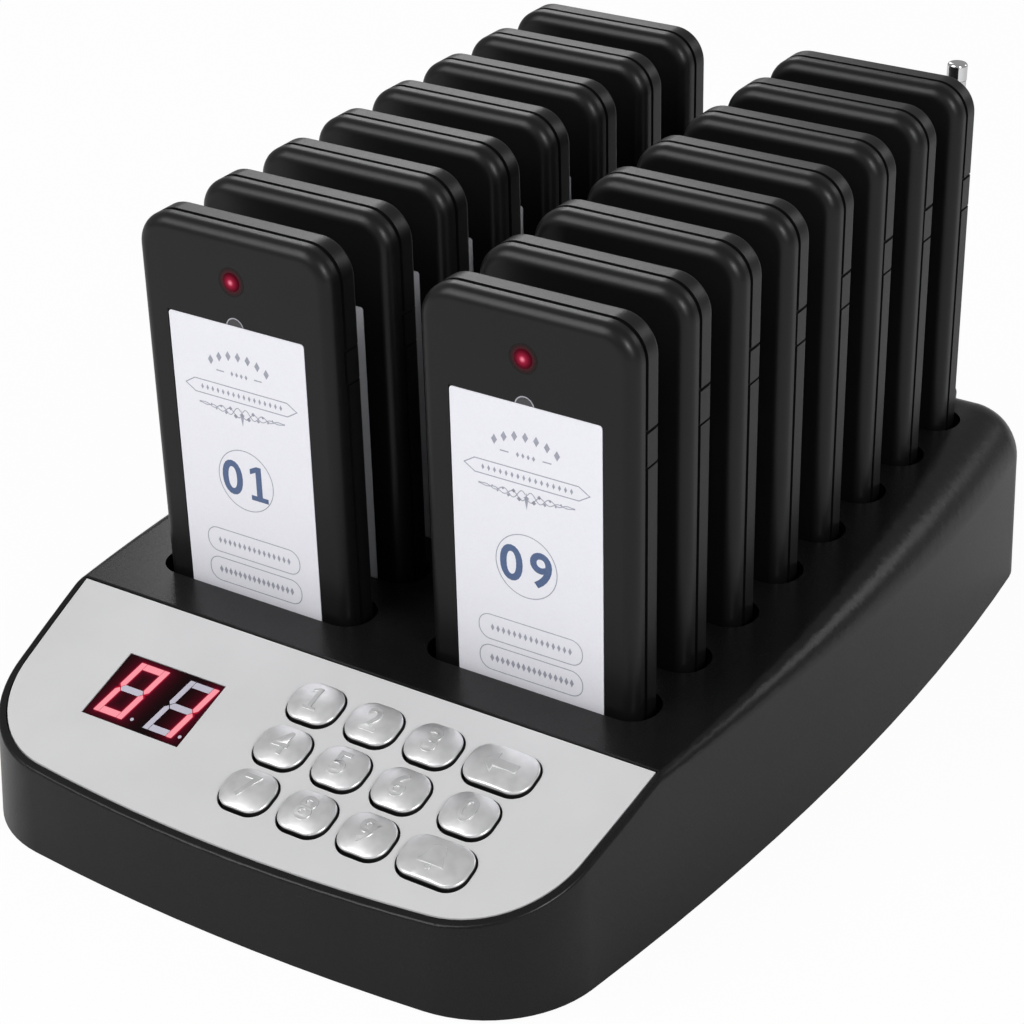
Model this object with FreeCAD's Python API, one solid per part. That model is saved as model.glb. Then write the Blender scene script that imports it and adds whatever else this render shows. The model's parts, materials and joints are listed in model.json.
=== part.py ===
import FreeCAD, Part
import math
import os
from FreeCAD import Placement, Rotation, Vector

os.makedirs("parts", exist_ok=True)

# A keypad transmitter that is also the charging base of sixteen guest pagers.
# Lengths are in millimetres and angles in degrees. The origin is on the floor,
# under the middle of the base. X runs to the right, Y to the back, Z up.

X_AXIS = Vector(1, 0, 0)
Y_AXIS = Vector(0, 1, 0)
Z_AXIS = Vector(0, 0, 1)

overrun = 8.0
touch_gap = 0.2
match_gap = 0.001

# Base housing, seen from above
side_margin = 19.25
rear_setback = 31.73
widest_point_y = 16.5
side_bow_radius = 880.0
front_bow_radius = 520.0
front_corner_radius = 29.5
rear_corner_radius = 16.0

# Base housing, seen from the side
foot_lift = 1.0
deck_height = 42.0
deck_slope = 2.3
panel_slope = 19.7
panel_setback = 13.5
panel_front_margin = 18.21
wall_draft = 2.5
deck_edge_radius = 2.0
rear_shoulder_radius = 14.0
lip_edge_radius = 0.9
side_wall = 2.5
deck_wall = 2.5
panel_wall = 2.2
inner_edge_radius = 0.5

# Pager
pager_width = 54.0
pager_height = 107.0
pager_thickness = 10.6
pager_corner_radius = 8.5
pager_shoulder_radius = 3.2
pager_back_radius = 1.4
pager_wall = 1.6
front_shell_depth = 4.4
parting_width = 1.2
parting_depth = 0.7
label_side_margin = 7.65
label_head = 22.8
label_bottom = 6.0
label_recess_depth = 0.35
label_notch_radius = 2.6
label_notch_drop = 0.56
light_drop = 12.0
light_bore_radius = 1.75
tab_drop = 25.1
tab_length = 7.8
tab_rise = 0.1
tab_reach = 0.45
tab_margin = 0.9
tab_groove_width = 0.7
tab_groove_depth = 0.6

# Charging slots
slot_columns = 2
slot_rows = 8
column_gap = 23.1
row_pitch = 22.66
slot_depth = 13.5
slot_side_gap = 0.6
slot_face_gap = 0.5
socket_corner_radius = 2.0
lead_in_depth = 5.0
lead_in_side = 3.0
lead_in_face = 1.6
lead_in_corner_radius = 6.6
well_wall = 1.6
well_floor = 1.6

# Contact pins and the boards that carry them
contact_spacing = 18.0
contact_radius = 1.0
contact_clearance = 0.3
board_thickness = 1.6
charge_board_width = 40.0
charge_board_margin = 6.0
stake_radius = 1.2
stake_clearance = 0.15
stake_length = 2.6

# Control panel plate
plate_thickness = 1.2
lip_width = 1.8
plate_gap = 0.35
plate_top_margin = 0.5

# Keys
key_width = 12.8
key_height = 11.0
wide_key_width = 17.1
key_corner_radius = 4.4
key_column_pitch = 15.94
key_row_pitch = 13.49
last_column_pitch = 17.71
first_key_x = -1.76
first_key_down = 13.39
key_rise = 1.8
key_crown_drop = 0.8
key_edge_radius = 0.45
key_gap = 0.45
key_lower_gap = 0.75
key_travel = 1.2
key_flange = 1.0
key_flange_thickness = 1.0
key_stem_radius = 1.8
key_stem_length = 0.4

# Keypad sheet and main board
dome_radius = 3.2
dome_top_radius = 2.2
dome_height = 1.0
sheet_thickness = 0.8
sheet_margin = 2.0
main_board_inset = 22.8
main_board_length = 40.0
main_board_down = 29.0
post_radius = 2.2
post_inset = 3.2

# Number display
display_width = 28.1
display_height = 19.5
display_inset = 34.43
display_down = 16.54
window_drop = 0.2
window_flange = 1.0
window_flange_thickness = 0.8
window_gap = 0.1
module_margin = 0.4

# Bottom cover, its screws and its feet
cover_thickness = 2.5
cover_gap = 0.3
cover_rib_height = 3.0
cover_rib_width = 1.6
boss_radius = 4.2
screw_radius = 1.5
screw_length = 12.0
screw_head_radius = 2.9
screw_head_height = 1.6
screw_hole_clearance = 0.3
screw_thread_clearance = 0.05
screw_slot_width = 1.0
screw_slot_depth = 0.7
front_screw_inset = 15.8
front_screw_setback = 31.5
middle_screw_inset = 10.8
middle_screw_y = 10.0
rear_screw_inset = 12.3
rear_screw_setback = 25.5
foot_radius = 7.0
foot_recess = 1.0
foot_edge_radius = 0.6
front_foot_inset = 25.8
front_foot_setback = 41.5
rear_foot_inset = 29.8
rear_foot_setback = 19.5
vent_count = 9
vent_width = 2.0
vent_length = 34.0
vent_pitch = 6.0
vent_centre_y = -20.0

# Supply inlet and switch in the rear wall
inlet_x = -30.0
inlet_height = 17.0
inlet_barrel_radius = 3.9
inlet_bore_radius = 2.95
inlet_bore_depth = 9.5
inlet_pin_radius = 1.05
inlet_body_width = 9.0
inlet_body_height = 11.0
inlet_body_depth = 11.5
inlet_gap = 0.3
switch_x = 6.0
rocker_width = 8.8
rocker_length = 12.4
rocker_gap = 0.4
switch_opening = 14.4
rocker_tilt = 8.0
rocker_recess = 0.3
rocker_dish = 0.8
rocker_pivot_depth = 4.2
rocker_heel = 3.2
rocker_root = 1.8
cheek_width = 1.4
pivot_radius = 1.0
pivot_length = 1.2
pivot_clearance = 0.08
switch_floor_depth = 6.0
power_board_margin = 4.0
power_board_drop = 6.5
support_radius = 2.5

# Antenna
antenna_inset = 34.0
antenna_setback = 10.9
turret_rise = 0.39
turret_radius = 6.8
turret_depth = 11.0
turret_edge_radius = 0.8
swivel_radius = 5.6
swivel_height = 3.6
shank_radius = 3.0
shank_clearance = 0.1
shank_keeper_radius = 4.2
shank_keeper_height = 1.5
fork_height = 7.0
fork_width = 7.0
fork_gap = 3.2
tang_width = 2.9
hinge_pin_radius = 1.1
hinge_pin_clearance = 0.06
mast_radius = 2.5
mast_wall = 0.5
mast_length = 75.5
tip_clearance = 0.1
tip_rod_length = 62.0
tip_cap_radius = 2.6
tip_cap_height = 4.4
tip_cap_edge = 0.9

key_names = (("1", "2", "3", "delete"), ("4", "5", "6", "0"), ("7", "8", "9", "call"))
wide_keys = ("delete", "call")

# Sizes worked out from those above. The slots and the keys set the size of the base.
lead_in_width = pager_width + 2 * lead_in_side
lead_in_thickness = pager_thickness + 2 * lead_in_face
socket_width = pager_width + 2 * slot_side_gap
socket_thickness = pager_thickness + 2 * slot_face_gap
column_spacing = pager_width + column_gap

panel_length = first_key_down + (len(key_names) - 1) * key_row_pitch + panel_front_margin
row_setback = panel_setback + panel_length * math.cos(math.radians(panel_slope))
base_length = row_setback + (slot_rows - 1) * row_pitch + rear_setback
base_half_width = ((slot_columns - 1) * column_spacing + lead_in_width) / 2 + side_margin

label_width = pager_width - 2 * label_side_margin
label_top = pager_height - label_head
light_height = pager_height - light_drop
tab_high = pager_height - tab_drop
tab_low = tab_high - tab_length
main_board_width = 2 * (base_half_width - main_board_inset)
display_left = display_inset - base_half_width

# Places worked out from those sizes
front_y = -base_length / 2
rear_y = base_length / 2
first_row_y = front_y + row_setback
panel_top_y = first_row_y - panel_setback
deck_rise = math.tan(math.radians(deck_slope))
panel_top_z = deck_height - panel_setback * deck_rise
form_top = deck_height + base_length * deck_rise
antenna_x = base_half_width - antenna_inset
antenna_y = rear_y - antenna_setback
antenna_seat_height = deck_height + (antenna_y - first_row_y) * deck_rise + turret_rise

deck_frame = Placement(Vector(0, first_row_y, deck_height), Rotation(X_AXIS, deck_slope))
panel_frame = Placement(Vector(0, panel_top_y, panel_top_z), Rotation(X_AXIS, panel_slope))
antenna_frame = Placement(Vector(antenna_x, antenna_y, 0), Rotation())

side_centre = (base_half_width - side_bow_radius, widest_point_y)
front_centre = (0, front_y + front_bow_radius)

plate_under = -plate_thickness
panel_under = plate_under - panel_wall
flange_top = panel_under - touch_gap
flange_bottom = flange_top - key_flange_thickness
stem_bottom = flange_bottom - key_stem_length
dome_top = stem_bottom - key_travel - touch_gap
sheet_top = dome_top - dome_height
sheet_bottom = sheet_top - sheet_thickness
window_under = plate_under - window_flange_thickness
module_top = window_under - touch_gap

screw_places = [
    (side * (base_half_width - inset), y)
    for inset, y in (
        (front_screw_inset, front_y + front_screw_setback),
        (middle_screw_inset, middle_screw_y),
        (rear_screw_inset, rear_y - rear_screw_setback),
    )
    for side in (-1, 1)
]
foot_places = [
    (side * (base_half_width - inset), y)
    for inset, y in (
        (front_foot_inset, front_y + front_foot_setback),
        (rear_foot_inset, rear_y - rear_foot_setback),
    )
    for side in (-1, 1)
]


def placed(shape, frame):
    """A copy of the shape, carried into the frame."""
    moved = shape.copy()
    moved.Placement = frame.multiply(shape.Placement)
    return moved


def box(x0, x1, y0, y1, z0, z1):
    """A box between two corners."""
    return Part.makeBox(x1 - x0, y1 - y0, z1 - z0, Vector(x0, y0, z0))


def rod(radius, low, high, x=0, y=0):
    """An upright round bar between two heights."""
    return Part.makeCylinder(radius, high - low, Vector(x, y, low), Z_AXIS)


def bar_along_x(radius, x0, x1, y=0, z=0):
    """A round bar that lies along X."""
    return Part.makeCylinder(radius, x1 - x0, Vector(x0, y, z), X_AXIS)


def bar_along_y(radius, y0, y1, x=0, z=0):
    """A round bar that lies along Y."""
    return Part.makeCylinder(radius, y1 - y0, Vector(x, y0, z), Y_AXIS)


def arc(centre, radius, start, end, z):
    """An arc in a level plane, with its angles in radians."""
    circle = Part.Circle(Vector(centre[0], centre[1], z), Z_AXIS, radius)
    return Part.ArcOfCircle(circle, start, end).toShape()


def bearing(centre, point):
    """The direction from one point in plan to another, in radians."""
    return math.atan2(point[1] - centre[1], point[0] - centre[0])


def rounded_block(width, depth, low, high, radius):
    """A block with rounded upright edges, centred on the Z axis."""
    reach_x = width / 2 - radius
    reach_y = depth / 2 - radius
    quarter = math.pi / 2
    centres = ((reach_x, reach_y), (-reach_x, reach_y), (-reach_x, -reach_y), (reach_x, -reach_y))
    corners = [
        arc(centre, radius, turn * quarter, turn * quarter + quarter, low)
        for turn, centre in enumerate(centres)
    ]
    edges = []
    for here, following in zip(corners, corners[1:] + corners[:1]):
        edges.append(here)
        edges.append(Part.makeLine(here.Vertexes[-1].Point, following.Vertexes[0].Point))
    return Part.Face(Part.Wire(edges)).extrude(Vector(0, 0, high - low))


def upright_block(width, height, y0, y1, radius):
    """The same kind of block stood on its lower edge, with its faces to the front and the back."""
    block = rounded_block(width, height, -y1, -y0, radius)
    return placed(block, Placement(Vector(0, 0, height / 2), Rotation(X_AXIS, 90)))


def mirrored(shape):
    """The shape on the other side of the middle plane."""
    return shape.mirror(Vector(0, 0, 0), X_AXIS)


def corner_centres():
    """The centres of the right front and right rear corner arcs of the plan."""
    (sx, sy), (fx, fy) = side_centre, front_centre
    side_reach = side_bow_radius - front_corner_radius
    front_reach = front_bow_radius - front_corner_radius
    span = math.hypot(fx - sx, fy - sy)
    along = (side_reach**2 - front_reach**2 + span**2) / (2 * span)
    across = math.sqrt(side_reach**2 - along**2)
    ux, uy = (fx - sx) / span, (fy - sy) / span
    front = (sx + along * ux + across * uy, sy + along * uy - across * ux)
    rear_centre_y = rear_y - rear_corner_radius
    reach = math.sqrt((side_bow_radius - rear_corner_radius) ** 2 - (rear_centre_y - sy) ** 2)
    return front, (sx + reach, rear_centre_y)


def plan_wire(inset, z):
    """The right half of the plan outline, drawn inwards by the inset, closed on the middle plane."""
    front, rear = corner_centres()
    front_turn = bearing(front_centre, front)
    side_turn = bearing(side_centre, front)
    rear_turn = bearing(side_centre, rear)
    edges = [
        arc(front_centre, front_bow_radius - inset, -math.pi / 2, front_turn, z),
        arc(front, front_corner_radius - inset, front_turn, side_turn, z),
        arc(side_centre, side_bow_radius - inset, side_turn, rear_turn, z),
        arc(rear, rear_corner_radius - inset, rear_turn, math.pi / 2, z),
    ]
    rear_middle = Vector(0, rear_y - inset, z)
    edges.append(Part.makeLine(edges[-1].Vertexes[-1].Point, rear_middle))
    edges.append(Part.makeLine(rear_middle, edges[0].Vertexes[0].Point))
    return Part.Wire(edges)


def half_prism(inset, low, high):
    """The right half of the base as a drafted block, with no top shape yet."""
    lean = math.tan(math.radians(wall_draft))
    wires = [plan_wire(inset + (z - foot_lift) * lean, z) for z in (low, high)]
    return Part.makeLoft(wires, True, True)


def whole(half):
    """A right half joined to its mirror image."""
    return half.fuse(mirrored(half)).removeSplitter()


def above(frame, depth):
    """Everything over a plane that lies the given depth under the frame's own."""
    reach = base_length + form_top
    return placed(box(-reach, reach, -reach, reach, -depth, reach), frame)


def edges_on(shape, frame, depth):
    """The edges that lie in a plane, the given depth under the frame's own."""
    normal = frame.Rotation.multVec(Z_AXIS)
    origin = frame.Base - normal * depth
    return [
        edge
        for edge in shape.Edges
        if all(abs((vertex.Point - origin).dot(normal)) < match_gap for vertex in edge.Vertexes)
    ]


def is_level(edge):
    """Whether an edge is straight and runs along X, as the crease of the two planes does."""
    ends = [vertex.Point for vertex in edge.Vertexes]
    return edge.Curve.TypeId == "Part::GeomLine" and abs(ends[0].y - ends[-1].y) < touch_gap


def on_middle(edge):
    """Whether an edge lies on the middle plane."""
    return all(abs(vertex.X) < touch_gap for vertex in edge.Vertexes)


def base_form(inset, deck_inset, panel_inset, low):
    """The outside form of the base, or that form drawn inwards for the hollow."""
    half = half_prism(inset, low, form_top)
    half = half.cut(above(deck_frame, deck_inset)).cut(above(panel_frame, panel_inset))
    rim = [edge for edge in edges_on(half, deck_frame, deck_inset) if not is_level(edge)]
    side = max((edge for edge in rim if not on_middle(edge)), key=lambda edge: edge.Length)
    small = max(deck_edge_radius - inset, inner_edge_radius)
    half = half.makeFillet(small, rear_shoulder_radius - inset, [side])
    if inset == 0:
        lip = [
            edge
            for edge in edges_on(half, panel_frame, panel_inset)
            if not is_level(edge) and not on_middle(edge)
        ]
        half = half.makeFillet(lip_edge_radius, lip)
    return whole(half)


def panel_slab(inset, top_margin, low, high):
    """A slab that lies on the sloped front, inside the plan outline less the inset."""
    half = half_prism(inset, 0, form_top)
    reach = base_length
    slab = placed(box(-reach, reach, -reach, -top_margin, low, high), panel_frame)
    return whole(half.common(slab))


def on_panel(shape, x, down):
    """The shape carried to a place on the sloped front."""
    return placed(shape, panel_frame.multiply(Placement(Vector(x, -down, 0), Rotation())))


def key_places():
    """The name, width and centre of each key."""
    for row, names in enumerate(key_names):
        for column, name in enumerate(names):
            x = first_key_x + min(column, 2) * key_column_pitch
            if column > 2:
                x += last_column_pitch
            width = wide_key_width if name in wide_keys else key_width
            yield name, width, x, first_key_down + row * key_row_pitch


def key_holes(low):
    """The holes that the keys move in, which leave more room at the lower side of each key."""
    shift = (key_lower_gap - key_gap) / 2
    holes = []
    for name, width, x, down in key_places():
        hole = rounded_block(
            width + 2 * key_gap,
            key_height + key_gap + key_lower_gap,
            low,
            overrun,
            key_corner_radius + key_gap,
        )
        holes.append(on_panel(hole, x, down + shift))
    return holes


def slot_places():
    """The number of each pager and the frame of its slot, at the deck and at the pager's front face."""
    number = 0
    for column in range(slot_columns):
        for row in range(slot_rows):
            number += 1
            x = (column - (slot_columns - 1) / 2) * column_spacing
            spot = Placement(Vector(x, row * row_pitch, 0), Rotation())
            yield number, deck_frame.multiply(spot)


def centred_on_slot(shape, frame):
    """The shape carried to the middle of a slot."""
    middle = Placement(Vector(0, pager_thickness / 2, 0), Rotation())
    return placed(shape, frame.multiply(middle))


def wells():
    """The walled well under each slot."""
    block = rounded_block(
        lead_in_width + 2 * well_wall,
        lead_in_thickness + 2 * well_wall,
        -slot_depth - well_floor,
        -deck_wall / 2,
        lead_in_corner_radius + well_wall,
    )
    return [centred_on_slot(block, frame) for number, frame in slot_places()]


def slot_cutters():
    """The space of each slot: a wide mouth over a close socket."""
    mouth = rounded_block(
        lead_in_width, lead_in_thickness, -lead_in_depth, overrun, lead_in_corner_radius
    )
    socket = rounded_block(
        socket_width, socket_thickness, -slot_depth, overrun, socket_corner_radius
    )
    space = mouth.fuse(socket)
    return [centred_on_slot(space, frame) for number, frame in slot_places()]


def contact_places(frame):
    """The two contact places of a slot."""
    for side in (-1, 1):
        spot = Vector(side * contact_spacing / 2, pager_thickness / 2, 0)
        yield frame.multiply(Placement(spot, Rotation()))


def contact_holes():
    """The holes in the floors of the wells."""
    hole = rod(contact_radius + contact_clearance, -slot_depth - 2 * well_floor, -lead_in_depth)
    return [
        placed(hole, place) for number, frame in slot_places() for place in contact_places(frame)
    ]


def stake_places():
    """Where the wells hold the charge boards."""
    last = slot_rows - 1
    for column in range(slot_columns):
        x = (column - (slot_columns - 1) / 2) * column_spacing
        for row in (0, last // 2, last):
            yield Vector(x, row * row_pitch + pager_thickness / 2, 0)


def charge_board_stakes(radius, low, high):
    """Pins under the wells, or the holes that they pass through."""
    pin = rod(radius, low, high)
    return [
        placed(pin, deck_frame.multiply(Placement(spot, Rotation()))) for spot in stake_places()
    ]


def main_post_places():
    """Where the front wall holds the main board."""
    reach_x = main_board_width / 2 - post_inset
    reach_y = main_board_length / 2 - post_inset
    return [
        (sx * reach_x, main_board_down + sy * reach_y) for sx in (-1, 1) for sy in (-1, 1)
    ]


def main_posts():
    """The stepped posts that carry the main board."""
    post = rod(post_radius, sheet_bottom, panel_under + panel_wall / 2)
    pin = rod(stake_radius, sheet_bottom - stake_length, sheet_bottom)
    return [on_panel(post.fuse(pin), x, down) for x, down in main_post_places()]


def case_bosses():
    """The bosses that take the case screws, each a tube down to the bottom cover."""
    low = foot_lift + cover_thickness
    return [rod(boss_radius, low, form_top, x, y) for x, y in screw_places]


def case_boss_holes():
    """The blind holes for the screws."""
    low = foot_lift
    depth = low + screw_head_height + screw_length + touch_gap
    return [rod(screw_radius + screw_thread_clearance, low, depth, x, y) for x, y in screw_places]


def wall_face_y(height):
    """The outer face of the rear wall at a height."""
    return rear_y - (height - foot_lift) * math.tan(math.radians(wall_draft))


def inlet_cutter():
    """The round hole for the inlet's barrel."""
    face = wall_face_y(inlet_height)
    radius = inlet_barrel_radius + inlet_gap
    return bar_along_y(radius, face - side_wall - overrun, face + overrun, inlet_x, inlet_height)


def switch_cutter():
    """The opening for the rocker."""
    face = wall_face_y(inlet_height)
    reach_x = rocker_width / 2 + rocker_gap
    reach_z = switch_opening / 2
    return box(
        switch_x - reach_x,
        switch_x + reach_x,
        face - side_wall - overrun,
        face + overrun,
        inlet_height - reach_z,
        inlet_height + reach_z,
    )


def antenna_turret():
    """The round seat under the antenna, which rises out of the rear shoulder."""
    low = antenna_seat_height - turret_depth
    turret = rod(turret_radius, low, antenna_seat_height)
    crest = [edge for edge in turret.Edges if edge.Closed and edge.BoundBox.ZMin > low]
    return placed(turret.makeFillet(turret_edge_radius, crest), antenna_frame)


def antenna_bore():
    """The bore of the antenna's shank."""
    return placed(rod(shank_radius + shank_clearance, 0, form_top), antenna_frame)


def top_housing():
    """The moulded upper shell with its deck, wells, sloped front, bosses and openings."""
    outer = base_form(0, 0, 0, foot_lift)
    hollow = base_form(side_wall, deck_wall, plate_thickness + panel_wall, foot_lift - overrun)
    middle = base_form(side_wall / 2, deck_wall / 2, plate_thickness + panel_wall / 2, foot_lift)
    additions = middle.common(Part.makeCompound(case_bosses()))
    shell = outer.cut(hollow)
    shell = shell.multiFuse(
        wells()
        + main_posts()
        + charge_board_stakes(
            stake_radius, -slot_depth - well_floor - stake_length, -slot_depth - well_floor / 2
        )
        + additions.Solids
        + [antenna_turret()]
    )
    cutters = slot_cutters() + contact_holes() + case_boss_holes()
    cutters += key_holes(panel_under - overrun / 2)
    cutters.append(antenna_bore())
    cutters.append(inlet_cutter())
    cutters.append(switch_cutter())
    cutters.append(panel_slab(lip_width, plate_top_margin, plate_under, overrun))
    reach = window_flange + window_gap
    opening = box(-reach, display_width + reach, -display_height - reach, reach, -overrun, overrun)
    cutters.append(on_panel(opening, display_left, display_down))
    return shell.cut(Part.makeCompound(cutters)).removeSplitter()


def bottom_cover():
    """The plate that closes the base, with its stiffening rim, vents, foot recesses and screw holes."""
    inset = side_wall + cover_gap
    low = foot_lift
    top = low + cover_thickness
    plate = whole(half_prism(inset, low, top))
    rib_top = top + cover_rib_height
    rim = half_prism(inset + cover_gap, low, rib_top)
    rim = whole(rim.cut(half_prism(inset + cover_gap + cover_rib_width, 0, rib_top + overrun)))
    cover = plate.fuse(rim)
    supports = [rod(support_radius, low, power_board_low(), x, y) for x, y in support_places()]
    cover = cover.multiFuse(supports)
    cutters = []
    for x, y in screw_places:
        cutters.append(rod(boss_radius + cover_gap, top, rib_top + overrun, x, y))
        cutters.append(rod(screw_radius + screw_hole_clearance, 0, top + overrun, x, y))
        sink = screw_head_radius + screw_hole_clearance
        cutters.append(rod(sink, 0, low + screw_head_height, x, y))
    for x, y in foot_places:
        cutters.append(rod(foot_radius + touch_gap, 0, low + foot_recess, x, y))
    for index in range(vent_count):
        x = (index - (vent_count - 1) / 2) * vent_pitch
        slot = rounded_block(vent_width, vent_length, 0, top + overrun, vent_width / 2 - touch_gap / 2)
        cutters.append(placed(slot, Placement(Vector(x, vent_centre_y, 0), Rotation())))
    return cover.cut(Part.makeCompound(cutters)).removeSplitter()


def control_panel():
    """The metal plate of the sloped front, with openings for the keys and the display."""
    plate = panel_slab(lip_width + plate_gap, plate_top_margin + plate_gap, plate_under, 0)
    cutters = key_holes(plate_under - overrun)
    opening = box(0, display_width, -display_height, 0, plate_under - overrun, overrun)
    cutters.append(on_panel(opening, display_left, display_down))
    return plate.cut(Part.makeCompound(cutters))


def key_cap(width):
    """A domed key with a flange that keeps it behind the wall, and a stem over its dome."""
    radius = (width / 2) ** 2 / (2 * key_crown_drop) + key_crown_drop / 2
    cap = rounded_block(width, key_height, flange_top, key_rise, key_corner_radius)
    crown = Part.makeSphere(radius, Vector(0, 0, key_rise - radius))
    cap = cap.common(crown)
    skyline = [edge for edge in cap.Edges if edge.BoundBox.ZMin > 0]
    cap = cap.makeFillet(key_edge_radius, skyline)
    flange = rounded_block(
        width + 2 * key_flange,
        key_height + 2 * key_flange,
        flange_bottom,
        flange_top,
        key_corner_radius + key_flange,
    )
    stem = rod(key_stem_radius, stem_bottom, flange_bottom)
    return cap.fuse(flange).fuse(stem).removeSplitter()


def keypad_sheet():
    """The rubber sheet under the keys, with one dome for each."""
    places = list(key_places())
    left = min(x - width / 2 for name, width, x, down in places) - sheet_margin
    right = max(x + width / 2 for name, width, x, down in places) + sheet_margin
    up = min(down for name, width, x, down in places) - key_height / 2 - sheet_margin
    low = max(down for name, width, x, down in places) + key_height / 2 + sheet_margin
    sheet = placed(box(left, right, -low, -up, sheet_bottom, sheet_top), panel_frame)
    dome = Part.makeCone(dome_radius, dome_top_radius, dome_height, Vector(0, 0, sheet_top))
    return sheet.multiFuse([on_panel(dome, x, down) for name, width, x, down in places])


def main_board():
    """The board under the keypad sheet and the display."""
    half = main_board_width / 2
    reach = main_board_length / 2
    board = box(-half, half, -main_board_down - reach, -main_board_down + reach, 0, board_thickness)
    underside = sheet_bottom - board_thickness
    seat = Placement(Vector(0, 0, underside), Rotation())
    board = placed(board, panel_frame.multiply(seat))
    hole = rod(stake_radius + stake_clearance, underside - overrun, sheet_bottom)
    return board.cut(Part.makeCompound([on_panel(hole, x, down) for x, down in main_post_places()]))


def display_window():
    """The stepped filter that fills the display's opening."""
    def layer(margin, low, high):
        return box(-margin, display_width + margin, -display_height - margin, margin, low, high)

    face = layer(-window_gap, plate_under, -window_drop)
    flange = layer(window_flange, window_under, plate_under)
    return on_panel(face.fuse(flange).removeSplitter(), display_left, display_down)


def display_module():
    """The two-digit block behind the filter."""
    block = box(
        module_margin,
        display_width - module_margin,
        -display_height + module_margin,
        -module_margin,
        sheet_bottom,
        module_top,
    )
    return on_panel(block, display_left, display_down)


def charge_boards():
    """The two long boards under the wells."""
    top = -slot_depth - well_floor
    reach = charge_board_width / 2
    length = (slot_rows - 1) * row_pitch + pager_thickness
    margin = charge_board_margin
    boards = []
    holes = charge_board_stakes(stake_radius + stake_clearance, top - overrun, top)
    for column in range(slot_columns):
        x = (column - (slot_columns - 1) / 2) * column_spacing
        board = box(x - reach, x + reach, -margin, length + margin, top - board_thickness, top)
        boards.append(placed(board, deck_frame).cut(Part.makeCompound(holes)))
    return Part.makeCompound([solid for board in boards for solid in board.Solids])


def charge_contacts():
    """The spring pins that stand in the floors of the wells."""
    pin = rod(contact_radius, -slot_depth - well_floor, -slot_depth - touch_gap)
    return Part.makeCompound(
        [placed(pin, place) for number, frame in slot_places() for place in contact_places(frame)]
    )


def rubber_feet():
    """Four round feet, each let into the bottom cover."""
    feet = []
    for x, y in foot_places:
        foot = rod(foot_radius, 0, foot_lift + foot_recess, x, y)
        rim = [edge for edge in foot.Edges if edge.BoundBox.ZMax < foot_lift / 2]
        feet.append(foot.makeFillet(foot_edge_radius, rim))
    return Part.makeCompound(feet)


def case_screws():
    """Six screws that hold the bottom cover to the bosses."""
    screws = []
    seat = foot_lift + screw_head_height
    for x, y in screw_places:
        head = rod(screw_head_radius, foot_lift + touch_gap, seat, x, y)
        shaft = rod(screw_radius, seat, seat + screw_length, x, y)
        reach = screw_head_radius
        half = screw_slot_width / 2
        depth = foot_lift + touch_gap + screw_slot_depth
        drive = box(x - reach, x + reach, y - half, y + half, 0, depth)
        cross = box(x - half, x + half, y - reach, y + reach, 0, depth)
        screws.append(head.fuse(shaft).cut(drive.fuse(cross)))
    return Part.makeCompound([solid for screw in screws for solid in screw.Solids])


def power_board_low():
    """The underside of the board that carries the inlet and the switch."""
    return inlet_height - power_board_drop - board_thickness


def power_board_span():
    """The ends of that board, and its front and back edges."""
    left = inlet_x - inlet_body_width / 2 - power_board_margin
    right = switch_x + rocker_width / 2 + rocker_gap + cheek_width + power_board_margin
    back = wall_face_y(inlet_height) - side_wall - 2 * touch_gap
    return left, right, back - inlet_body_depth, back


def support_places():
    """The two posts of the bottom cover under that board."""
    left, right, front, back = power_board_span()
    middle = (front + back) / 2
    return [(left + support_radius, middle), (right - support_radius, middle)]


def power_inlet():
    """The supply inlet and the body of the switch, soldered to one board."""
    left, right, front, back = power_board_span()
    face = wall_face_y(inlet_height)
    top = inlet_height - power_board_drop
    board = box(left, right, front, back, power_board_low(), top)
    half = inlet_body_width / 2
    crest = inlet_height + inlet_body_height / 2
    body = box(inlet_x - half, inlet_x + half, front, back, top, crest)
    bottom = face - inlet_bore_depth
    mouth = face - touch_gap
    barrel = bar_along_y(inlet_barrel_radius, back, mouth, inlet_x, inlet_height)
    bore = bar_along_y(inlet_bore_radius, bottom, face + overrun, inlet_x, inlet_height)
    pin = bar_along_y(inlet_pin_radius, bottom - touch_gap, mouth - touch_gap, inlet_x, inlet_height)
    inlet = body.fuse(barrel).cut(bore).fuse(pin)
    inner = rocker_width / 2 + rocker_gap
    outer = inner + cheek_width
    reach = switch_opening / 2
    pivot_y = face - rocker_pivot_depth
    floor_y = pivot_y - switch_floor_depth
    case = box(switch_x - outer, switch_x + outer, floor_y, back, top, inlet_height + reach)
    space = box(
        switch_x - inner,
        switch_x + inner,
        floor_y + cheek_width,
        back + overrun,
        inlet_height - reach + cheek_width,
        inlet_height + reach - cheek_width,
    )
    right_end = switch_x + inner
    left_end = switch_x - inner
    pivots = [
        bar_along_x(pivot_radius, start, start + pivot_length, pivot_y, inlet_height)
        for start in (left_end, right_end - pivot_length)
    ]
    switch_body = case.cut(space).multiFuse(pivots)
    return board.multiFuse([inlet, switch_body]).removeSplitter()


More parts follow.
